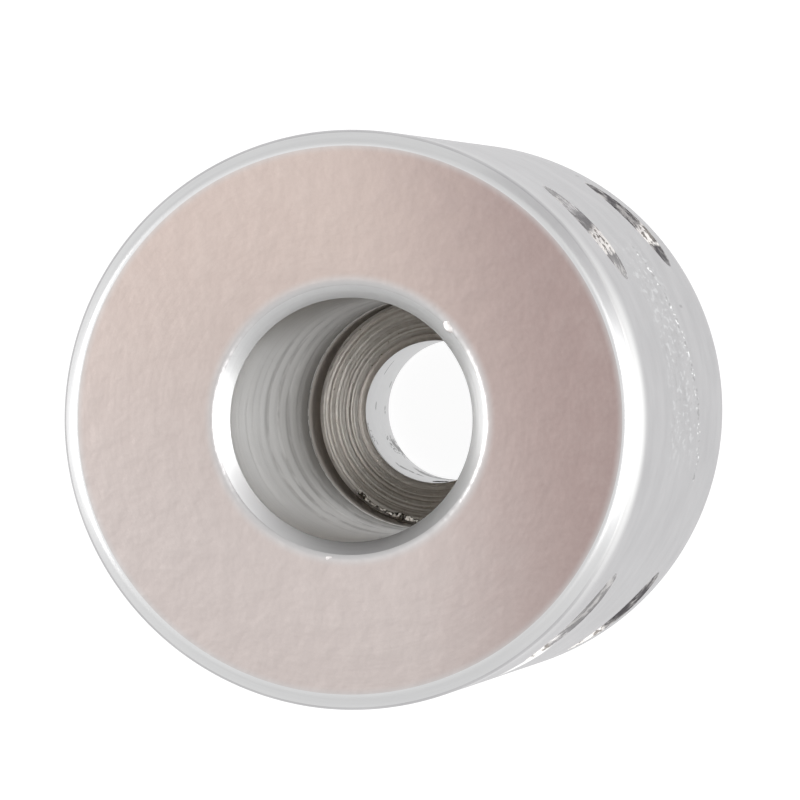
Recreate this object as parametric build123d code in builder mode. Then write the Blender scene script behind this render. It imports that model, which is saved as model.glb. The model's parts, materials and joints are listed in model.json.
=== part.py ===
from build123d import *
from math import radians, tan
import os

# Rigid shaft coupling, turned in one piece from round bar, with a stepped bore
# and four set screws. Sizes are in millimetres and degrees. The coupling stands
# on its back end: the origin is the centre of that end, and +Z runs along the
# axis to the front end. The side between the two rows of screws faces -Y.

# Body
body_diameter = 19.0
body_length = 30.0
rim_chamfer = 0.4  # on the outer rim of each end

# Bores. The front bore is drilled, and the drill's point leaves a conical
# shoulder where it meets the back bore.
front_bore_diameter = 8.0
front_bore_depth = 22.4  # of the straight wall, from the front end
drill_point_angle = 118.0
back_bore_diameter = 5.0
front_mouth_chamfer = 0.5
back_mouth_chamfer = 0.4

# Tapped screw holes, two near each end, drilled to tapping size. The thread
# itself is left off the hole and off the screw.
thread_diameter = 4.0
thread_pitch = 0.7
mouth_margin = 0.15  # from the thread to the rim of the countersink
countersink_angle = 90.0
front_screw_inset = 8.0  # from the front end to the centres of its holes
back_screw_inset = 4.5  # from the back end to the centres of its holes
front_pair_angle = 88.0  # between the two holes near the front end
back_pair_angle = 95.0  # between the two holes near the back end

# Set screws: hexagon socket, cup point
screw_length = 4.0
screw_recess = 0.9  # from the body's surface down to the socket end
root_clearance = 0.08  # between the screw's thread root and the tapping hole
socket_across_flats = 2.0
socket_depth = 2.0
cup_diameter = 2.0
cup_angle = 90.0
end_chamfer = 0.25  # at the socket end
point_chamfer = 0.45  # at the cup end

# Sizes that follow from the ones above
body_radius = body_diameter / 2
front_bore_radius = front_bore_diameter / 2
back_bore_radius = back_bore_diameter / 2
shoulder_rim_height = body_length - front_bore_depth
shoulder_depth = (front_bore_radius - back_bore_radius) / tan(radians(drill_point_angle / 2))
tapping_radius = (thread_diameter - thread_pitch) / 2
mouth_radius = thread_diameter / 2 + mouth_margin
screw_radius = tapping_radius - root_clearance
cup_depth = cup_diameter / 2 / tan(radians(cup_angle / 2))

# The side between the rows of screws faces this way, as an angle from +X
row_middle = -90.0

# Each screw's angle from +X and its height on the body
screw_places = {
    "front_right": (row_middle + front_pair_angle / 2, body_length - front_screw_inset),
    "front_left": (row_middle - front_pair_angle / 2, body_length - front_screw_inset),
    "back_right": (row_middle + back_pair_angle / 2, back_screw_inset),
    "back_left": (row_middle - back_pair_angle / 2, back_screw_inset),
}


def surface_plane(angle, height):
    # touches the body's surface at that angle and height, and faces outwards
    outward = Vector(1, 0, 0).rotate(Axis.Z, angle)
    return Plane(origin=outward * body_radius + Vector(0, 0, height), x_dir=(0, 0, 1), z_dir=outward)


os.makedirs("parts", exist_ok=True)

# Body: half its section, turned about the axis
with BuildPart() as coupling_body:
    with BuildSketch(Plane.XZ):
        with BuildLine():
            Polyline(
                (back_bore_radius, 0),
                (body_radius, 0),
                (body_radius, body_length),
                (front_bore_radius, body_length),
                (front_bore_radius, shoulder_rim_height),
                (back_bore_radius, shoulder_rim_height - shoulder_depth),
                close=True,
            )
        make_face()
    revolve(axis=Axis.Z)
    end_rims = coupling_body.edges().filter_by(GeomType.CIRCLE).group_by(Axis.Z)
    chamfer(end_rims[0].sort_by(SortBy.RADIUS)[0], back_mouth_chamfer)
    chamfer(end_rims[-1].sort_by(SortBy.RADIUS)[0], front_mouth_chamfer)
    chamfer([end_rims[0].sort_by(SortBy.RADIUS)[-1], end_rims[-1].sort_by(SortBy.RADIUS)[-1]], rim_chamfer)
    for angle, height in screw_places.values():
        with Locations(surface_plane(angle, height)):
            CounterSinkHole(
                radius=tapping_radius,
                counter_sink_radius=mouth_radius,
                depth=body_radius,
                counter_sink_angle=countersink_angle,
            )
coupling_body.part.label = "coupling_body"
export_step(coupling_body.part, "parts/coupling_body.step")

# Set screws, each sunk below the surface in its own hole
for place, (angle, height) in screw_places.items():
    socket_end = surface_plane(angle, height).offset(-screw_recess)
    screw_axis = Axis(socket_end.origin, socket_end.z_dir)
    with BuildPart() as set_screw:
        with BuildSketch(socket_end):
            Circle(screw_radius)
        extrude(amount=-screw_length)
        screw_ends = set_screw.edges().filter_by(GeomType.CIRCLE).sort_by(screw_axis)
        chamfer(screw_ends[0], point_chamfer)
        chamfer(screw_ends[-1], end_chamfer)
        with BuildSketch(socket_end):
            RegularPolygon(radius=socket_across_flats / 2, side_count=6, major_radius=False)
        extrude(amount=-socket_depth, mode=Mode.SUBTRACT)
        with Locations(socket_end.offset(-screw_length)):
            Cone(
                bottom_radius=cup_diameter / 2,
                top_radius=0,
                height=cup_depth,
                align=(Align.CENTER, Align.CENTER, Align.MIN),
                mode=Mode.SUBTRACT,
            )
    name = "set_screw_" + place
    set_screw.part.label = name
    export_step(set_screw.part, "parts/" + name + ".step")
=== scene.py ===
import json
import math

import bmesh
import bpy
from mathutils import Matrix, Vector, noise

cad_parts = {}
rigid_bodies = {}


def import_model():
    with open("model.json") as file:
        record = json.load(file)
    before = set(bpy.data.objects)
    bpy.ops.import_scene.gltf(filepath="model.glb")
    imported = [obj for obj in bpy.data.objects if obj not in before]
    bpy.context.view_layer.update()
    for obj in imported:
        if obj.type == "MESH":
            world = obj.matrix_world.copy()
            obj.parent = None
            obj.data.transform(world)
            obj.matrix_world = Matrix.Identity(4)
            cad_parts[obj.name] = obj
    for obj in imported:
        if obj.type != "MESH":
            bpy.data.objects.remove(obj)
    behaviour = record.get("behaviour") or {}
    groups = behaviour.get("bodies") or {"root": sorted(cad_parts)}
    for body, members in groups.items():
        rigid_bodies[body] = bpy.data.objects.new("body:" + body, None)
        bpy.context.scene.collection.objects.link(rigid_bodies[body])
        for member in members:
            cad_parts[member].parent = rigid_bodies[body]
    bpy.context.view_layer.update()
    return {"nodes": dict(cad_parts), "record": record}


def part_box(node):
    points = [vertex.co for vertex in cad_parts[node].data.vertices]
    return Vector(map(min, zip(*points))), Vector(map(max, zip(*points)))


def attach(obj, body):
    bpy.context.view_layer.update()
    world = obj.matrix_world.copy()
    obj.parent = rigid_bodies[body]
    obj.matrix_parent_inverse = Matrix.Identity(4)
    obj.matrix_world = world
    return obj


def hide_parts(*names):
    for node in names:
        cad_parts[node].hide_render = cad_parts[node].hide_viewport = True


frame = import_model()

mm = 0.001
mounts = {mount["name"]: mount for mount in frame["record"]["mounts"]}
bodyLow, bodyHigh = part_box("coupling_body")
bodyRadius = (bodyHigh.x - bodyLow.x) / 2
bodyLength = bodyHigh.z
frontBoreRadius = mounts["front_bore"]["dims"]["r_mm"] * mm
backBoreRadius = mounts["back_bore"]["dims"]["r_mm"] * mm
print("frame loaded: body", round(bodyRadius / mm, 3), "x", round(bodyLength / mm, 3), "mm")


class Wire:
    # one output socket: arithmetic on it adds Math nodes
    def __init__(self, paint, socket):
        self.paint = paint
        self.socket = socket

    def __add__(self, other):
        return self.paint.maths("ADD", self, other)

    def __radd__(self, other):
        return self.paint.maths("ADD", other, self)

    def __sub__(self, other):
        return self.paint.maths("SUBTRACT", self, other)

    def __rsub__(self, other):
        return self.paint.maths("SUBTRACT", other, self)

    def __mul__(self, other):
        return self.paint.maths("MULTIPLY", self, other)

    def __rmul__(self, other):
        return self.paint.maths("MULTIPLY", other, self)

    def __truediv__(self, other):
        return self.paint.maths("DIVIDE", self, other)

    def __rtruediv__(self, other):
        return self.paint.maths("DIVIDE", other, self)

    def __pow__(self, other):
        return self.paint.maths("POWER", self, other)

    def __rpow__(self, other):
        return self.paint.maths("POWER", other, self)


class Paint:
    # the node tree of one material or world
    def __init__(self, owner):
        owner.use_nodes = True
        self.tree = owner.node_tree
        self.tree.nodes.clear()

    def node(self, kind, settings=None, sockets=None, out=0):
        made = self.tree.nodes.new(kind)
        for key, value in (settings or {}).items():
            setattr(made, key, value)
        for key, value in (sockets or {}).items():
            if isinstance(value, Wire):
                self.tree.links.new(value.socket, made.inputs[key])
            else:
                made.inputs[key].default_value = value
        return Wire(self, made.outputs[out]) if made.outputs else made

    def maths(self, operation, *values, clamp=False):
        return self.node("ShaderNodeMath", {"operation": operation, "use_clamp": clamp}, dict(enumerate(values)))

    def vectors(self, operation, *values, out=0):
        # a plain number among the values goes to the Scale socket
        sockets = {3 if operation == "SCALE" and index else index: value for index, value in enumerate(values)}
        return self.node("ShaderNodeVectorMath", {"operation": operation}, sockets, out)

    def mix(self, factor, first, second):
        return self.node("ShaderNodeMix", {"data_type": "RGBA"}, {0: factor, 6: colour4(first), 7: colour4(second)}, 2)

    def smooth(self, value, low, high):
        # 0 below low, 1 above high, eased between
        return self.node("ShaderNodeMapRange", {"interpolation_type": "SMOOTHSTEP"},
                         {"Value": value, "From Min": low, "From Max": high})

    def between(self, value, low, high, ease):
        # 1 between low and high, eased at both ends
        return self.smooth(value, low - ease, low + ease) * (1 - self.smooth(value, high - ease, high + ease))

    def lobe(self, angle, degrees, sharpness):
        # 1 at that angle about the axis, falling smoothly away from it
        return (self.maths("COSINE", angle - math.radians(degrees)) * 0.5 + 0.5) ** sharpness

    def noise(self, where, scale, detail=2.0, roughness=0.5):
        return self.node("ShaderNodeTexNoise", sockets={
            "Vector": where, "Scale": scale, "Detail": detail, "Roughness": roughness})

    def combine(self, *values):
        return self.node("ShaderNodeCombineXYZ", sockets=dict(enumerate(values)))

    def place(self):
        # the point on the part in millimetres, then its x, y, z, its distance from the axis and its angle
        point = self.vectors("SCALE", self.node("ShaderNodeTexCoord", out=3), 1 / mm)
        split = self.node("ShaderNodeSeparateXYZ", sockets={0: point}).socket.node
        x, y, z = [Wire(self, socket) for socket in split.outputs]
        return point, x, y, z, self.maths("SQRT", x * x + y * y), self.maths("ARCTAN2", y, x)

    def streaks(self, unrolled, reach, marks):
        # 1 on thin marks, each (start degrees, start height, end degrees, end height, width) in millimetres
        mask = None
        for startAngle, startHeight, endAngle, endHeight, width in marks:
            start = Vector((math.radians(startAngle) * reach, startHeight, 0))
            along = Vector((math.radians(endAngle) * reach, endHeight, 0)) - start
            offset = self.vectors("SUBTRACT", unrolled, start)
            share = self.maths("DIVIDE", self.vectors("DOT_PRODUCT", offset, along, out=1),
                               along.length_squared, clamp=True)
            gap = self.vectors("LENGTH", self.vectors("SUBTRACT", offset, self.vectors("SCALE", along, share)), out=1)
            mark = 1 - self.smooth(gap, width * 0.5, width)
            mask = mark if mask is None else self.maths("MAXIMUM", mask, mark)
        return mask

    def metal(self, base, roughness, height, bump):
        # bare metal; bump is how deep, in millimetres, the whole range of height goes
        raised = self.node("ShaderNodeBump", sockets={"Strength": 1.0, "Distance": bump * mm, "Height": height})
        shader = self.node("ShaderNodeBsdfPrincipled", sockets={
            "Base Color": base, "Metallic": 1.0, "Roughness": roughness, "Normal": raised})
        self.node("ShaderNodeOutputMaterial", sockets={"Surface": shader})


def colour4(value):
    return (*value, 1) if isinstance(value, tuple) and len(value) == 3 else value


def newMaterial(name):
    material = bpy.data.materials.new(name)
    return material, Paint(material)


body = {
    "columns": 320,
    "rimChamfer": 0.4 * mm,
    "frontMouth": 0.5 * mm,
    "backMouth": 0.4 * mm,
    "boreDepth": 22.4 * mm,
    "pointAngle": math.radians(118),
    "rimRound": 0.30 * mm,
    "edgeRound": 0.02 * mm,
    "roundSteps": 4,
    "longestWall": 2.5 * mm,
    "peckPitch": 2.6 * mm,
    "pecks": 5,
    "lastPeck": 3.04 * mm,
    "peckWidth": 0.45 * mm,
    "peckDepth": 0.012 * mm,
    "dwellWidth": 0.16 * mm,
    "dwellDepth": 0.035 * mm,
    "ringPitch": 0.125 * mm,
    "ringDepth": 0.003 * mm,
    "deepRings": (3.82 * mm, 3.50 * mm, 3.15 * mm, 2.99 * mm, 2.75 * mm),
    "deepRingDepth": 0.007 * mm,
}


def faceFinish():
    # the faced ends: satin and faintly dimpled, with painted shade deepening towards -Y, warmer towards +X, grey beside
    # the cut edges
    look = {
        "pale": (0.495, 0.437, 0.419), "warm": (0.512, 0.425, 0.390), "deep": (0.350, 0.269, 0.255),
        "edge": (0.52, 0.51, 0.51), "edgeFade": 0.36, "paintedShadeFrom": 0.0, "paintedShadeTo": 7.8, "lean": 0.21,
        "mottle": 0.06, "roughness": 0.36, "bump": 0.045,
    }
    material, paint = newMaterial("facedEnd")
    point, x, y, z, reach, angle = paint.place()
    dimples = paint.noise(point, 1.3, 2.0, 0.5)
    grain = paint.noise(point, 6.0, 2.0, 0.5)
    rings = paint.noise(paint.combine(reach * 7.0, x * 0.15, y * 0.15), 1.0, 3.0, 0.6)
    # painted shade: the face is painted darker towards -Y, the side less light falls on
    deep = paint.smooth(x * look["lean"] - y + (dimples - 0.5) * 2.5, look["paintedShadeFrom"], look["paintedShadeTo"])
    base = paint.mix(paint.smooth(x, -5.0, 7.0), look["pale"], look["warm"])
    base = paint.mix(deep, base, look["deep"])
    base = paint.mix(paint.smooth(dimples * 0.6 + grain * 0.4, 0.3, 0.9) * look["mottle"], base, (1.0, 0.95, 0.9))
    outer = (bodyRadius - body["rimChamfer"]) / mm
    inner = (frontBoreRadius + body["frontMouth"]) / mm
    beside = paint.maths("MAXIMUM", paint.smooth(reach, outer - look["edgeFade"], outer + 0.05),
                         1 - paint.smooth(reach, inner - 0.05, inner + look["edgeFade"]))
    base = paint.mix(beside, base, look["edge"])
    paint.metal(base, look["roughness"] + (grain - 0.5) * 0.10, dimples * 0.8 + grain * 0.12 + rings * 0.10, look["bump"])
    return material


def skinFinish():
    # the turned outside: fine lines round the bar, a scuffed band, a broken ring of nicks with painted glints, a
    # painted highlight spot, and a painted highlight by the front edge, strongest on the -Y side
    look = {
        "light": (0.410, 0.404, 0.414), "dark": (0.330, 0.325, 0.336), "scuff": (0.54, 0.54, 0.55),
        "nick": (0.12, 0.115, 0.12), "glint": (1.0, 1.0, 1.0), "paintedLight": (0.98, 0.98, 0.97),
        "roughness": 0.34, "bump": 0.008,
        "ring": [(-53, 12.9, -75, 10.9, 0.55), (-75, 10.9, -100, 8.2, 0.55)],
        "shine": [(-146.5, 21.0, -149.0, 19.6, 1.2)],
        "dots": [(-27, 3.1, -27, 3.8, 0.08), (-65, 7.7, -65, 8.5, 0.07), (-102, 8.0, -102, 8.6, 0.07)],
        "scuffLow": 10.5, "scuffHigh": 19.0, "scuffMiddle": -74.0, "scuffWidth": 30.0,
    }
    material, paint = newMaterial("turnedSkin")
    point, x, y, z, reach, angle = paint.place()
    lines = paint.noise(paint.vectors("MULTIPLY", point, Vector((0.2, 0.2, 7.0))), 1.0, 4.0, 0.65)
    smudge = paint.noise(point, 0.5, 3.0, 0.6)
    base = paint.mix(paint.smooth(lines * 0.5 + smudge * 0.5, 0.35, 0.65), look["dark"], look["light"])
    unrolled = paint.combine(angle * (bodyRadius / mm), z)
    turn = paint.maths("ABSOLUTE", angle - math.radians(look["scuffMiddle"])) / math.radians(look["scuffWidth"])
    band = paint.between(z, look["scuffLow"], look["scuffHigh"], 1.5) * (1 - paint.smooth(turn, 0.5, 1.0))
    rub = paint.noise(paint.vectors("MULTIPLY", unrolled, Vector((3.6, 0.8, 1.0))), 1.0, 2.0, 0.6)
    base = paint.mix(band * paint.smooth(rub, 0.52, 0.66), base, look["scuff"])
    base = paint.mix(band * (1 - paint.smooth(rub, 0.34, 0.44)) * 0.35, base, look["nick"])
    dash = paint.noise(paint.vectors("MULTIPLY", unrolled, Vector((6.0, 0.9, 1.0))), 1.0, 1.0, 0.5)
    broken = paint.streaks(unrolled, bodyRadius / mm, look["ring"])
    glints = broken * paint.smooth(dash, 0.58, 0.66)
    nicks = paint.maths("MAXIMUM", broken * (1 - paint.smooth(dash, 0.36, 0.43)),
                        paint.streaks(unrolled, bodyRadius / mm, look["dots"]))
    base = paint.mix(nicks * 0.6, paint.mix(glints, base, look["glint"]), look["nick"])
    # painted highlight: a small bright spot on the skin
    base = paint.mix(paint.streaks(unrolled, bodyRadius / mm, look["shine"]), base, look["paintedLight"])
    # painted highlight by the front edge, strongest on the -Y side
    low, high = bodyLength / mm - 3.4, bodyLength / mm - 0.9
    facing = 0.15 + 0.85 * paint.between(angle, math.radians(-112), math.radians(-66), math.radians(22))
    base = paint.mix(paint.smooth(z, low, high) * facing, base, look["paintedLight"])
    paint.metal(base, look["roughness"] + (lines - 0.5) * 0.15 + band * (rub - 0.5) * 0.2,
                lines + band * rub * 0.6 + glints - nicks, look["bump"])
    return material


def edgeFinish():
    # the cut chamfers, satin like the faces but grey; the mouth's has a painted highlight at one side and painted shade
    # at another
    look = {
        "light": (0.64, 0.64, 0.64), "dark": (0.56, 0.56, 0.565), "bright": (0.97, 0.97, 0.97),
        "dull": (0.30, 0.295, 0.295), "paintedHighlightAt": 132.0, "paintedShadeAt": -168.0, "roughness": 0.34, "bump": 0.004,
    }
    material, paint = newMaterial("cutChamfer")
    point, x, y, z, reach, angle = paint.place()
    lines = paint.noise(paint.combine(reach * 9.0, x * 0.3, y * 0.3), 1.0, 3.0, 0.6)
    base = paint.mix(lines, look["dark"], look["light"])
    mouth = 1 - paint.smooth(reach, frontBoreRadius / mm + 1, frontBoreRadius / mm + 2)
    # painted highlight on one side of the mouth's chamfer
    base = paint.mix(paint.lobe(angle, look["paintedHighlightAt"], 10.0) * mouth, base, look["bright"])
    # painted shade on another side of the mouth's chamfer
    base = paint.mix(paint.lobe(angle, look["paintedShadeAt"], 5.0) * mouth, base, look["dull"])
    paint.metal(base, look["roughness"] + (lines - 0.5) * 0.1, lines, look["bump"])
    return material


def boreFinish():
    # the drilled wall: broad smudged rings where the drill pecked, painted shade on the +Y half, deepening further in,
    # painted shade towards +X, painted light towards -X, brown past the last thin ring, where the drill dwelt, and a
    # painted glint on that ring
    look = {
        "light": (0.985, 0.98, 0.965), "shade": (0.31, 0.293, 0.262), "upper": (0.43, 0.415, 0.39),
        "lower": (0.93, 0.92, 0.90), "smudge": (0.26, 0.245, 0.225), "brown": (0.40, 0.355, 0.31),
        "ring": (1.0, 0.98, 0.94), "roughness": 0.34, "bump": 0.006,
    }
    material, paint = newMaterial("drilledBore")
    point, x, y, z, reach, angle = paint.place()
    lines = paint.noise(paint.vectors("MULTIPLY", point, Vector((0.15, 0.15, 2.4))), 1.0, 4.0, 0.65)
    patches = paint.noise(paint.combine(angle * 2.4, z * 0.35), 1.0, 3.0, 0.6)
    dwellHeight = (bodyLength - body["boreDepth"] + body["lastPeck"]) / mm
    seen = paint.smooth(y, -1.5, 1.5)
    deeper = 1 - paint.smooth(z + (lines - 0.5) * 3.0, dwellHeight - 3.0, dwellHeight + 16.0)
    # painted shade: darker on the +Y half and further in
    base = paint.mix(deeper * seen, look["light"], look["shade"])
    # painted shade towards +X, painted light towards -X
    base = paint.mix(paint.smooth(x, 1.8, 3.8), base, look["upper"])
    base = paint.mix(1 - paint.smooth(x, -3.8, -1.8), base, look["lower"])
    peck = paint.maths("PINGPONG", z - dwellHeight, body["peckPitch"] / mm / 2)
    smudges = (1 - paint.smooth(peck, 0.25, 0.85)) * paint.smooth(patches, 0.38, 0.60)
    smudges = smudges * (1 - paint.smooth(z, dwellHeight + 8.5, dwellHeight + 12.5)) * seen
    base = paint.mix(smudges * 0.7, base, look["smudge"])
    base = paint.mix(paint.smooth(lines, 0.50, 0.70) * seen * 0.12, base, look["smudge"])
    brown = (1 - paint.smooth(z, dwellHeight - 0.4, dwellHeight - 0.1)) * seen
    base = paint.mix(brown, base, look["brown"])
    crumbs = paint.noise(paint.combine(angle * 14.0, z * 2.0), 1.0, 1.0, 0.5)
    # painted glint: a thin bright ring at the dwell, broken into dashes
    base = paint.mix(paint.between(z, dwellHeight - 0.06, dwellHeight + 0.06, 0.04) * paint.smooth(crumbs, 0.42, 0.5),
                     base, look["ring"])
    paint.metal(base, look["roughness"] + (lines - 0.5) * 0.2, lines, look["bump"])
    return material


def shoulderFinish():
    # the drill point's cone: close rings, warm grey, darker in the grooves
    look = {"light": (1.0, 0.96, 0.925), "dark": (0.78, 0.72, 0.675), "roughness": 0.32, "bump": 0.006}
    material, paint = newMaterial("drillShoulder")
    point, x, y, z, reach, angle = paint.place()
    rings = paint.noise(paint.combine(reach * 8.0, x * 0.12, y * 0.12), 1.0, 3.0, 0.7)
    tears = paint.noise(paint.combine(reach * 12.0, angle * 12.0), 1.0, 3.0, 0.6)
    base = paint.mix(paint.smooth(rings * 0.7 + tears * 0.3, 0.38, 0.58), look["dark"], look["light"])
    paint.metal(base, look["roughness"] + (tears - 0.5) * 0.25, rings + tears * 0.35, look["bump"])
    return material


def backBoreFinish():
    # the reamed wall of the smaller bore: light, with a few dark scores and flecks
    look = {
        "light": (0.55, 0.55, 0.555), "score": (0.015, 0.014, 0.014), "roughness": 0.32, "bump": 0.006,
        "scores": [
            (59.7, 4.43, 48.3, 4.59, 0.10), (119.4, 1.5, 130.0, 0.5, 0.22), (142.0, 4.55, 158.2, 3.26, 0.20),
            (158.0, 1.7, 179.0, 0.9, 0.60), (87.0, 3.97, 88.9, 3.97, 0.14), (91.0, 1.41, 92.9, 1.41, 0.14),
            (104.0, 6.5, 175.0, 6.6, 0.12), (70.0, 1.2, 71.5, 1.2, 0.12),
        ],
        "flecks": [(106.0, 6.4, 118.0, 5.7, 0.30), (119.0, 2.2, 128.0, 0.6, 0.55)],
    }
    material, paint = newMaterial("reamedBore")
    point, x, y, z, reach, angle = paint.place()
    grain = paint.noise(point, 4.0, 3.0, 0.6)
    unrolled = paint.combine(angle * (backBoreRadius / mm), z)
    ragged = paint.noise(paint.vectors("MULTIPLY", unrolled, Vector((4.5, 2.0, 1.0))), 1.0, 3.0, 0.6)
    crumbs = paint.noise(paint.vectors("MULTIPLY", unrolled, Vector((8.0, 2.5, 1.0))), 1.0, 2.0, 0.6)
    scores = paint.maths(
        "MAXIMUM", paint.streaks(unrolled, backBoreRadius / mm, look["scores"]) * paint.smooth(ragged, 0.38, 0.44),
        paint.streaks(unrolled, backBoreRadius / mm, look["flecks"]) * paint.smooth(crumbs, 0.52, 0.57))
    paint.metal(paint.mix(scores, look["light"], look["score"]), look["roughness"] + (grain - 0.5) * 0.12,
                grain * 0.5 - scores, look["bump"])
    return material


def tapFinish():
    # the tapped holes: painted dark as shade, streaked along the rim, each with one painted highlight in a bright
    # crumpled stretch; the holes in the front half are painted paler
    look = {
        "light": (0.50, 0.485, 0.475), "dark": (0.10, 0.095, 0.10), "bright": (1.0, 0.97, 0.94), "fold": (0.30, 0.28, 0.265),
        "paintedLight": (0.62, 0.61, 0.61), "frontFrom": 12.0, "frontTo": 14.0, "roughness": 0.26, "bump": 0.02,
        "paintedHighlights": [(-49.0, -43.2, 0.0, 13.0), (-51.5, -45.5, 13.0, 30.0), (-150.0, -142.5, 0.0, 30.0)],
    }
    material, paint = newMaterial("tappedHole")
    point, x, y, z, reach, angle = paint.place()
    along = paint.combine(reach * 7.0, angle * 9.0, z * 0.5)
    streaks = paint.noise(along, 1.0, 3.0, 0.65)
    folds = paint.noise(paint.combine(reach * 9.0, angle * 26.0, z * 1.0), 1.0, 2.0, 0.6)
    # painted shade: the holes are painted dark
    base = paint.mix(paint.smooth(streaks, 0.46, 0.66), look["dark"], look["light"])
    # painted light: the holes in the front half are painted paler
    base = paint.mix(paint.smooth(z, look["frontFrom"], look["frontTo"]) * 0.35, base, look["paintedLight"])
    shine = None
    # painted highlights: one bright crumpled stretch in each hole
    for first, last, low, high in look["paintedHighlights"]:
        lit = paint.between(angle + (folds - 0.5) * 0.08, math.radians(first), math.radians(last), math.radians(0.8))
        lit = lit * paint.between(z, low, high, 0.1)
        shine = lit if shine is None else paint.maths("MAXIMUM", shine, lit)
    base = paint.mix(shine, base, paint.mix(paint.smooth(folds, 0.40, 0.50), look["fold"], look["bright"]))
    paint.metal(base, look["roughness"] + (streaks - 0.5) * 0.2, streaks + folds * 0.5, look["bump"])
    return material


def screwFinish():
    # blackened steel, rubbed lighter here and there
    look = {"light": (0.16, 0.158, 0.165), "dark": (0.045, 0.045, 0.05), "roughness": 0.40, "bump": 0.008}
    material, paint = newMaterial("blackenedSteel")
    point, x, y, z, reach, angle = paint.place()
    grain = paint.noise(point, 6.0, 4.0, 0.65)
    paint.metal(paint.mix(paint.smooth(grain, 0.45, 0.72), look["dark"], look["light"]),
                look["roughness"] + (grain - 0.5) * 0.2, grain, look["bump"])
    return material


def swarfFinish():
    # torn chips: bright grains between dark ones
    look = {"light": (1.0, 0.96, 0.90), "dark": (0.16, 0.14, 0.12), "roughness": 0.34, "bump": 0.02}
    material, paint = newMaterial("tornChips")
    point, x, y, z, reach, angle = paint.place()
    grain = paint.noise(point, 7.0, 3.0, 0.6)
    dull = 1 - paint.smooth(angle, math.radians(144), math.radians(150))
    base = paint.mix(paint.smooth(grain - dull * 0.10, 0.38, 0.50), look["dark"], look["light"])
    paint.metal(base, look["roughness"] + (grain - 0.5) * 0.2, grain, look["bump"])
    return material


def burrFinish():
    # turned-over metal on the mouth's rim: pale and dull
    look = {"light": (0.85, 0.82, 0.81), "dark": (0.60, 0.56, 0.55), "roughness": 0.38, "bump": 0.02}
    material, paint = newMaterial("rolledBurr")
    point, x, y, z, reach, angle = paint.place()
    grain = paint.noise(point, 5.0, 2.0, 0.5)
    paint.metal(paint.mix(paint.smooth(grain, 0.35, 0.65), look["dark"], look["light"]),
                look["roughness"] + (grain - 0.5) * 0.1, grain, look["bump"])
    return material


def newObject(name, mesh):
    made = bpy.data.objects.new(name, mesh)
    bpy.context.scene.collection.objects.link(made)
    return made


def meshFrom(name, build):
    shape = bmesh.new()
    build(shape)
    bmesh.ops.recalc_face_normals(shape, faces=shape.faces)
    mesh = bpy.data.meshes.new(name)
    shape.to_mesh(mesh)
    shape.free()
    return mesh


def cutWith(target, cutter, operation="DIFFERENCE"):
    # the cutter's own material slots are those of the target, so its faces keep their finish
    for material in target.data.materials:
        cutter.data.materials.append(material)
    modifier = target.modifiers.new("cut", "BOOLEAN")
    modifier.object = cutter
    modifier.operation = operation
    modifier.solver = "EXACT"
    evaluated = target.evaluated_get(bpy.context.evaluated_depsgraph_get())
    cut = bpy.data.meshes.new_from_object(evaluated)
    target.modifiers.clear()
    target.data = cut
    bpy.data.objects.remove(cutter)


def shadeByAngle(mesh, sharpDegrees=28):
    mesh.shade_smooth()
    mesh.set_sharp_from_angle(angle=math.radians(sharpDegrees))


def roundCorners(outline, steps):
    # outline: corners (reach, height, radius, finish of the wall that follows); each becomes a small arc
    rounded = []
    for index, (reach, height, radius, finish) in enumerate(outline):
        corner = Vector((reach, height))
        before = (Vector(outline[index - 1][:2]) - corner).normalized()
        after = (Vector(outline[(index + 1) % len(outline)][:2]) - corner).normalized()
        half = before.angle(after) / 2
        centre = corner + (before + after).normalized() * radius / math.sin(half)
        start = corner + before * radius / math.tan(half) - centre
        end = corner + after * radius / math.tan(half) - centre
        turn = -start.angle_signed(end)
        for step in range(steps + 1):
            spoke = Matrix.Rotation(turn * step / steps, 2) @ start
            wall = finish if step == steps else outline[index - 1][3]
            rounded.append((centre.x + spoke.x, centre.y + spoke.y, wall))
    return rounded


def splitLong(outline, longest):
    # extra points on walls longer than that, so that no face is a long sliver
    split = []
    for index, (reach, height, finish) in enumerate(outline):
        nextReach, nextHeight = outline[(index + 1) % len(outline)][:2]
        count = max(1, math.ceil(math.hypot(nextReach - reach, nextHeight - height) / longest))
        for step in range(count):
            share = step / count
            split.append((reach + (nextReach - reach) * share, height + (nextHeight - height) * share, finish))
    return split


def grooved(outline, wall, grooves):
    # V grooves in the longest stretch of one wall; grooves are (distance along it, width, depth)
    lengths = [math.hypot(outline[(index + 1) % len(outline)][0] - reach,
                          outline[(index + 1) % len(outline)][1] - height) if finish == wall else 0
               for index, (reach, height, finish) in enumerate(outline)]
    at = lengths.index(max(lengths))
    start, end = Vector(outline[at][:2]), Vector(outline[(at + 1) % len(outline)][:2])
    along = (end - start).normalized()
    into = Vector((-along.y, along.x))
    cut = []
    for distance, width, depth in sorted(grooves):
        middle = start + along * distance
        for point in (middle - along * width / 2, middle + into * depth, middle + along * width / 2):
            cut.append((point.x, point.y, wall))
    return outline[:at + 1] + cut + outline[at + 1:]


def turnAbout(shape, outline, columns, finishes):
    # a closed outline turned about the Z axis
    rings = [[shape.verts.new((reach * math.cos(2 * math.pi * column / columns),
                               reach * math.sin(2 * math.pi * column / columns), height))
              for column in range(columns)] for reach, height, finish in outline]
    for index, ring in enumerate(rings):
        following = rings[(index + 1) % len(rings)]
        for column in range(columns):
            beside = (column + 1) % columns
            face = shape.faces.new((ring[column], ring[beside], following[beside], following[column]))
            face.material_index = finishes.index(outline[index][2])


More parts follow.
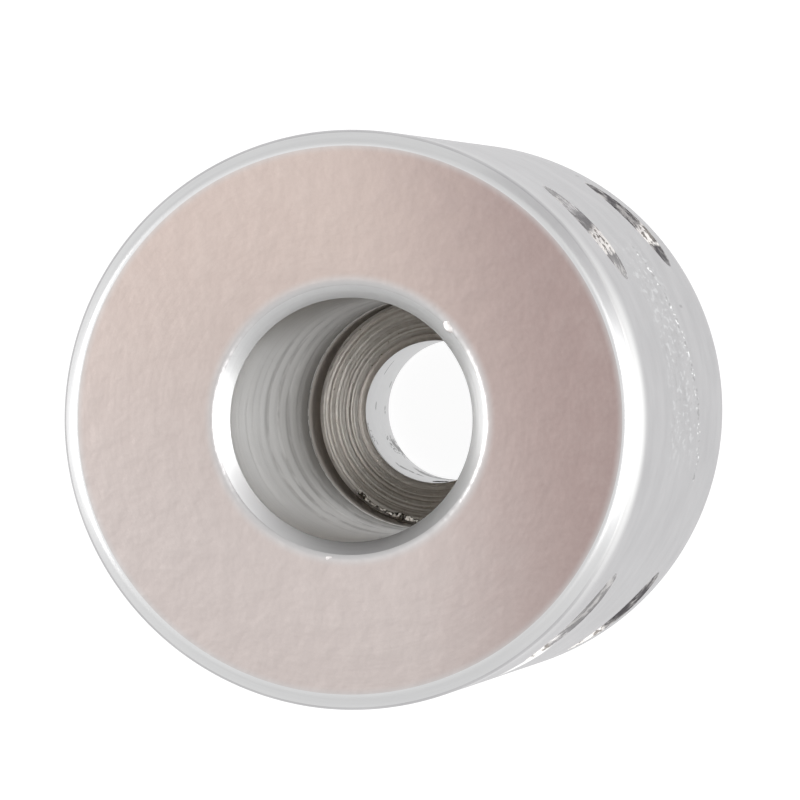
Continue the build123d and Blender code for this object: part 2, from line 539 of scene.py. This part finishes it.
def threadedRod(shape, marks, pitch, low, high, columns, tear=0.0, tearScale=0.0):
    # a closed rod along +Z with a helical thread; marks are (share of the pitch, reach), torn by some noise
    perTurn = len(marks)
    turns = math.ceil((high - low) / pitch) + 1
    count = turns * perTurn
    wall = []
    for column in range(columns):
        angle = 2 * math.pi * column / columns
        wall.append([])
        for turn in range(turns):
            for share, reach in marks:
                height = low + (turn + share - 1 + column / columns) * pitch
                point = Vector((reach * math.cos(angle), reach * math.sin(angle), height))
                point += noise.noise_vector(point * tearScale) * tear
                wall[-1].append(shape.verts.new(point))
    for column in range(columns - 1):
        for index in range(count - 1):
            shape.faces.new((wall[column][index], wall[column + 1][index],
                             wall[column + 1][index + 1], wall[column][index + 1]))
    for index in range(count - 1 - perTurn):
        # the last column meets the first one pitch further up
        shape.faces.new((wall[-1][index], wall[0][index + perTurn],
                         wall[0][index + perTurn + 1], wall[-1][index + 1]))
    bottomRim = [column[0] for column in wall] + wall[0][perTurn:0:-1]
    topRim = [column[-1] for column in wall] + wall[-1][count - 2:count - 2 - perTurn:-1]
    for rim in (bottomRim, topRim):
        hub = shape.verts.new((0, 0, sum(vertex.co.z for vertex in rim) / len(rim)))
        for first, second in zip(rim, rim[1:] + rim[:1]):
            shape.faces.new((hub, first, second))


def coneAlong(shape, lowReach, lowHeight, highReach, highHeight, sides=96):
    # a closed cone or prism about +Z between two heights
    bmesh.ops.create_cone(shape, segments=sides, cap_ends=True, radius1=lowReach, radius2=highReach,
                          depth=highHeight - lowHeight)
    bmesh.ops.translate(shape, verts=shape.verts, vec=(0, 0, (lowHeight + highHeight) / 2))


def rimCutter(shape, top):
    # breaks a tapped hole's edge: its underside keeps the same distance from the body's round outside
    loops = []
    for ring in range(1, rim["rings"] + 1):
        loops.append([])
        for column in range(rim["columns"]):
            angle = 2 * math.pi * column / rim["columns"]
            reach = rim["reach"] * ring / rim["rings"]
            point = Vector((reach * math.cos(angle), reach * math.sin(angle), 0))
            point += noise.noise_vector(point * rim["tearScale"]) * rim["tear"]
            point.z += math.sqrt(bodyRadius ** 2 - point.x ** 2) - (rim["reach"] - reach) * rim["slope"]
            loops[-1].append(shape.verts.new(point))
    loops.append([shape.verts.new((vertex.co.x, vertex.co.y, top)) for vertex in loops[-1]])
    for first, second in zip(loops, loops[1:]):
        for column in range(rim["columns"]):
            beside = (column + 1) % rim["columns"]
            shape.faces.new((first[column], first[beside], second[beside], second[column]))
    shape.faces.new(loops[0])
    shape.faces.new(loops[-1])


# where each set screw is, read from its solid: its two ends, and a frame with +Z along it, outwards, and +Y up
screwPlaces = {}
for name in sorted(name for name in frame["nodes"] if name.startswith("set_screw")):
    low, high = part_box(name)
    middle = (low + high) / 2
    outward = Vector((middle.x, middle.y, 0)).normalized()
    reaches = [vertex.co.dot(outward) for vertex in frame["nodes"][name].data.vertices]
    sideways = Vector((0, 0, 1)).cross(outward)
    axes = Matrix((sideways, Vector((0, 0, 1)), outward)).transposed()
    screwPlaces[name] = {
        "point": min(reaches), "socketEnd": max(reaches),
        "frame": Matrix.Translation((0, 0, middle.z)) @ axes.to_4x4(),
    }

thread = {
    "pitch": 0.7 * mm,
    "crest": 1.65 * mm,
    "root": 2.02 * mm,
    "crestShare": 0.297,
    "rootShare": 0.125,
    "innerEnd": 1.0 * mm,
    "overshoot": 0.5 * mm,
    "columns": 80,
    "tear": 0.045 * mm,
    "tearScale": 2.6 / mm,
    "start": {"set_screw_front_right": 0.81, "set_screw_front_left": 0.95,
              "set_screw_back_right": 0.81, "set_screw_back_left": 0.95},
}
rim = {
    "reach": 2.12 * mm,
    "slope": 1.2,
    "rings": 24,
    "columns": 120,
    "tear": 0.03 * mm,
    "tearScale": 3.0 / mm,
}


def threadMarks(shrink=0.0):
    flank = (1 - thread["crestShare"] - thread["rootShare"]) / 2
    crest, root = thread["crest"] - shrink, thread["root"] - shrink
    return [(0, crest), (thread["crestShare"], crest), (thread["crestShare"] + flank, root), (1 - flank, root)]


def bodyOutline():
    shoulderRim = bodyLength - body["boreDepth"]
    shoulderDepth = (frontBoreRadius - backBoreRadius) / math.tan(body["pointAngle"] / 2)
    wide, small = body["rimRound"], body["edgeRound"]
    outline = roundCorners([
        (backBoreRadius + body["backMouth"], 0, small, "face"),
        (bodyRadius - body["rimChamfer"], 0, wide, "edge"),
        (bodyRadius, body["rimChamfer"], wide, "skin"),
        (bodyRadius, bodyLength - body["rimChamfer"], wide, "edge"),
        (bodyRadius - body["rimChamfer"], bodyLength, wide, "face"),
        (frontBoreRadius + body["frontMouth"], bodyLength, wide, "edge"),
        (frontBoreRadius, bodyLength - body["frontMouth"], small, "bore"),
        (frontBoreRadius, shoulderRim, small, "shoulder"),
        (backBoreRadius, shoulderRim - shoulderDepth, small, "backBore"),
        (backBoreRadius, body["backMouth"], small, "edge"),
    ], body["roundSteps"])
    wallLength = body["boreDepth"] - body["frontMouth"] - small
    pecks = [(wallLength - body["lastPeck"] - body["peckPitch"] * count, body["peckWidth"], body["peckDepth"])
             for count in range(1, body["pecks"])]
    dwell = (wallLength - body["lastPeck"], body["dwellWidth"], body["dwellDepth"])
    outline = grooved(outline, "bore", pecks + [dwell])
    slope = 1 / math.sin(body["pointAngle"] / 2)
    deepRings = [(frontBoreRadius - reach) * slope for reach in body["deepRings"]]
    shoulderLength = (frontBoreRadius - backBoreRadius) * slope
    rings = []
    for count in range(1, int(shoulderLength / body["ringPitch"])):
        place = count * body["ringPitch"]
        nearest = min(deepRings, key=lambda deep: abs(deep - place))
        deep = abs(nearest - place) <= body["ringPitch"] / 2
        rings.append((nearest if deep else place, body["ringPitch"] * 0.6,
                      body["deepRingDepth"] if deep else body["ringDepth"] * (1 + 0.5 * math.sin(count * 2.3))))
    outline = grooved(outline, "shoulder", rings)
    return splitLong(outline, body["longestWall"])


def buildBody():
    finishes = {
        "face": faceFinish(), "skin": skinFinish(), "edge": edgeFinish(), "bore": boreFinish(),
        "shoulder": shoulderFinish(), "backBore": backBoreFinish(), "tap": tapFinish(),
    }
    made = newObject("couplingBody", meshFrom("couplingBody", lambda shape: turnAbout(
        shape, bodyOutline(), body["columns"], list(finishes))))
    for material in finishes.values():
        made.data.materials.append(material)
    past = bodyRadius + thread["overshoot"]
    for name, place in screwPlaces.items():
        start = thread["innerEnd"] + thread["start"][name] * thread["pitch"]
        tap = meshFrom("tap", lambda shape: threadedRod(
            shape, threadMarks(), thread["pitch"], start, past, thread["columns"], thread["tear"], thread["tearScale"]))
        for mesh in (tap, meshFrom("rim", lambda shape: rimCutter(shape, past))):
            mesh.transform(place["frame"])
            for face in mesh.polygons:
                face.material_index = list(finishes).index("tap")
            cutWith(made, newObject(mesh.name, mesh))
    shadeByAngle(made.data)
    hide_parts("coupling_body")
    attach(made, "root")
    print("coupling body:", len(made.data.polygons), "faces")


buildBody()

screw = {
    "threadGap": 0.05 * mm,
    "socketFlats": 2.0 * mm,
    "socketDepth": 2.0 * mm,
    "socketLead": 0.12 * mm,
    "cup": 1.0 * mm,
    "endChamfer": 0.3 * mm,
    "pointChamfer": 0.75 * mm,
    "columns": 56,
}


def buildScrew(name, place):
    low, high = place["point"], place["socketEnd"]
    outer = thread["root"]
    corner = screw["socketFlats"] / math.sqrt(3)
    wide = corner + screw["socketLead"]
    start = thread["innerEnd"] + thread["start"][name] * thread["pitch"]
    while start + thread["pitch"] * 1.5 < low:
        # the screw's thread stays in step with the tapped hole's
        start += thread["pitch"]
    blank = [
        (0, low), (outer - screw["pointChamfer"], low), (outer, low + screw["pointChamfer"]),
        (outer, high - screw["endChamfer"]), (outer - screw["endChamfer"], high), (0, high),
    ]

    def turnBlank(shape):
        profile = [shape.verts.new((reach, 0, height)) for reach, height in blank]
        edges = [shape.edges.new(pair) for pair in zip(profile, profile[1:])]
        bmesh.ops.spin(shape, geom=profile + edges, cent=(0, 0, 0), axis=(0, 0, 1),
                       angle=2 * math.pi, steps=96, use_merge=True)
        bmesh.ops.remove_doubles(shape, verts=shape.verts, dist=0.0001 * mm)

    made = newObject(name.replace("set_screw", "threadedScrew"), meshFrom(name, lambda shape: threadedRod(
        shape, threadMarks(screw["threadGap"]), thread["pitch"], start, high + thread["pitch"], screw["columns"])))
    cutWith(made, newObject("blank", meshFrom("blank", turnBlank)), "INTERSECT")
    for cutterName, outline in {
        "socket": (corner, high - screw["socketDepth"], corner, high + screw["socketDepth"], 6),
        "lead": (0, high - corner, wide * 2 - corner, high + wide * 2 - corner * 2 + screw["socketLead"], 48),
        "cup": (screw["cup"] * 2, low - screw["cup"], 0, low + screw["cup"], 48),
    }.items():
        cutWith(made, newObject(cutterName, meshFrom(cutterName, lambda shape: coneAlong(shape, *outline))))
    made.data.transform(place["frame"])
    made.data.materials.append(blackSteel)
    shadeByAngle(made.data)
    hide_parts(name)
    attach(made, "root")


blackSteel = screwFinish()
for name, place in screwPlaces.items():
    buildScrew(name, place)
print("set screws:", len(screwPlaces))

swarf = {
    "from": 137.0,
    "to": 177.0,
    "reach": 3.86 * mm,
    "rise": 0.05 * mm,
    "steps": 150,
    "sides": 12,
    "thin": 0.035 * mm,
    "thick": 0.13 * mm,
    "crumple": 0.09 * mm,
    "crumpleScale": 4.5 / mm,
    "grit": 0.035 * mm,
    "gritScale": 12.0 / mm,
}


def buildSwarf():
    # torn chips packed in the corner where the wall meets the shoulder: two lumps and a thread between them
    def chips(shape):
        loops = []
        for step in range(swarf["steps"] + 1):
            share = step / swarf["steps"]
            angle = math.radians(swarf["from"] + (swarf["to"] - swarf["from"]) * share)
            lumps = max(0.8 * math.exp(-((share - 0.12) / 0.08) ** 2), math.exp(-((share - 0.74) / 0.18) ** 2))
            size = (swarf["thin"] + (swarf["thick"] - swarf["thin"]) * lumps) * math.sin(math.pi * share) ** 0.3
            outward = Vector((math.cos(angle), math.sin(angle), 0))
            centre = outward * swarf["reach"] + Vector((0, 0, bodyLength - body["boreDepth"] + swarf["rise"]))
            loops.append([])
            for side in range(swarf["sides"]):
                turn = 2 * math.pi * side / swarf["sides"]
                point = centre + (outward * math.cos(turn) + Vector((0, 0, 0.6)) * math.sin(turn)) * size
                point += noise.noise_vector(point * swarf["crumpleScale"]) * swarf["crumple"] * lumps
                point += noise.noise_vector(point * swarf["gritScale"]) * swarf["grit"]
                loops[-1].append(shape.verts.new(point))
        for first, second in zip(loops, loops[1:]):
            for side in range(swarf["sides"]):
                beside = (side + 1) % swarf["sides"]
                shape.faces.new((first[side], first[beside], second[beside], second[side]))
        for loop in (loops[0], loops[-1]):
            shape.faces.new(loop)

    made = newObject("swarf", meshFrom("swarf", chips))
    made.data.materials.append(swarfFinish())
    shadeByAngle(made.data, 40)
    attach(made, "root")


burrs = {
    "places": [(164, 4.70 * mm, 0.24 * mm, 0.10 * mm), (174, 4.70 * mm, 0.22 * mm, 0.04 * mm),
               (-45, 4.60 * mm, 0.28 * mm, 0.07 * mm)],
    "rough": 0.02 * mm,
    "roughScale": 5.0 / mm,
}


def buildBurrs():
    # little beads of turned-over metal on the mouth's outer rim
    def beads(shape):
        for degrees, reach, size, proud in burrs["places"]:
            angle = math.radians(degrees)
            bead = bmesh.ops.create_icosphere(shape, subdivisions=4, radius=size)["verts"]
            for vertex in bead:
                vertex.co.z *= proud / size
                vertex.co += noise.noise_vector(vertex.co * burrs["roughScale"] + Vector((reach / mm, 0, 0))) * burrs["rough"]
            drop = max(vertex.co.z for vertex in bead)
            bmesh.ops.translate(shape, verts=bead, vec=(
                reach * math.cos(angle), reach * math.sin(angle), bodyLength - drop))

    made = newObject("mouthBurrs", meshFrom("mouthBurrs", beads))
    made.data.materials.append(burrFinish())
    shadeByAngle(made.data, 40)
    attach(made, "root")


buildSwarf()
buildBurrs()
print("swarf and burrs ready")

camera = {
    "lens": 430.27,
    "sensor": 36.0,
    "aim": Vector((0.720, -1.650, 30.0)) * mm,
    "azimuth": 6.895,
    "elevation": 82.729,
    "roll": -94.795,
    "distance": 312.18 * mm,
}


def buildCamera():
    azimuth, elevation = math.radians(camera["azimuth"]), math.radians(camera["elevation"])
    back = Vector((math.sin(azimuth) * math.cos(elevation), -math.cos(azimuth) * math.cos(elevation),
                   math.sin(elevation)))
    data = bpy.data.cameras.new("camera")
    data.sensor_width = camera["sensor"]
    data.lens = camera["lens"]
    data.clip_start = 0.01
    made = newObject("camera", data)
    turn = (-back).to_track_quat("-Z", "Y").to_matrix() @ Matrix.Rotation(math.radians(camera["roll"]), 3, "Z")
    made.matrix_world = Matrix.Translation(camera["aim"] + back * camera["distance"]) @ turn.to_4x4()
    bpy.context.scene.camera = made


studio = {
    "floorSize": 3.0,
    "floorColour": (0.80, 0.80, 0.80),
    "shadowShare": (0.15, 0.15, 0.15),
    "floorGlow": 0.95,
    "skySeen": 1.0,
    "skyLight": 0.75,
    "cardColour": (0.60, 0.59, 0.60),
    "cardDistance": 0.18,
    "cardHeight": 0.09,
    "cards": [{"name": "greyCard", "turn": -42.0, "width": 0.13}],
    "lamps": [
        {"name": "leftLamp", "place": (-0.03, 0.26, 0.10), "size": 0.18, "power": 0.15},
        {"name": "rightLamp", "place": (0.0, -0.26, 0.08), "size": 0.20, "power": 0.15},
        {"name": "highLeftLamp", "place": (0.0, 0.20, 0.17), "size": 0.12, "power": 0.24},
        {"name": "highRightLamp", "place": (0.0, -0.20, 0.17), "size": 0.12, "power": 0.24},
        {"name": "overheadLamp", "place": (0.05, 0.12, 0.42), "size": 0.25, "power": 0.05},
    ],
}


def seenDirectly(paint):
    # 1 for rays from the camera, off a gloss or through glass
    path = paint.node("ShaderNodeLightPath").socket.node
    camera, glossy, through = [Wire(paint, path.outputs[name])
                               for name in ("Is Camera Ray", "Is Glossy Ray", "Is Transmission Ray")]
    return paint.maths("MAXIMUM", camera, paint.maths("MAXIMUM", glossy, through))


def buildStudio():
    material, paint = newMaterial("paleFloor")
    plain = paint.node("ShaderNodeBsdfDiffuse", sockets={"Color": colour4(studio["floorColour"])})
    shaded = paint.node("ShaderNodeBsdfDiffuse", sockets={"Color": colour4(studio["shadowShare"])})
    glow = paint.node("ShaderNodeEmission", sockets={"Strength": studio["floorGlow"]})
    seen = paint.node("ShaderNodeAddShader", sockets={0: shaded, 1: glow})
    both = paint.node("ShaderNodeMixShader", sockets={0: seenDirectly(paint), 1: plain, 2: seen})
    paint.node("ShaderNodeOutputMaterial", sockets={"Surface": both})
    floor = newObject("floor", meshFrom("floor", lambda shape: bmesh.ops.create_grid(
        shape, x_segments=1, y_segments=1, size=studio["floorSize"] / 2)))
    floor.data.materials.append(material)

    # grey cards, out of the camera's sight, give the metal something darker to reflect
    material, paint = newMaterial("greyCard")
    paint.node("ShaderNodeOutputMaterial", sockets={"Surface": paint.node(
        "ShaderNodeBsdfDiffuse", sockets={"Color": colour4(studio["cardColour"])})})
    for card in studio["cards"]:
        made = newObject(card["name"], meshFrom(card["name"], lambda shape: bmesh.ops.create_grid(
            shape, x_segments=1, y_segments=1, size=0.5)))
        made.data.transform(Matrix.Diagonal((card["width"], studio["cardHeight"], 1, 1)))
        made.data.materials.append(material)
        made.matrix_world = (Matrix.Rotation(math.radians(card["turn"]), 4, "Z")
                             @ Matrix.Translation((studio["cardDistance"], 0, studio["cardHeight"] / 2))
                             @ Matrix.Rotation(math.radians(90), 4, "Z") @ Matrix.Rotation(math.radians(90), 4, "X"))
        made.visible_camera = False

    world = bpy.data.worlds.new("studio")
    bpy.context.scene.world = world
    paint = Paint(world)
    strength = seenDirectly(paint) * (studio["skySeen"] - studio["skyLight"]) + studio["skyLight"]
    sky = paint.node("ShaderNodeBackground", sockets={"Color": (1, 1, 1, 1), "Strength": strength})
    paint.node("ShaderNodeOutputWorld", sockets={"Surface": sky})

    for lamp in studio["lamps"]:
        light = bpy.data.lights.new(lamp["name"], "AREA")
        light.shape = "DISK"
        light.size = lamp["size"]
        light.energy = lamp["power"]
        made = newObject(lamp["name"], light)
        place = Vector(lamp["place"])
        aim = Vector((0, 0, bodyLength / 2)) - place
        made.matrix_world = Matrix.Translation(place) @ aim.to_track_quat("-Z", "Y").to_matrix().to_4x4()
        made.visible_camera = False
    bpy.context.scene.view_settings.view_transform = "Standard"


buildCamera()
buildStudio()
print("studio ready")
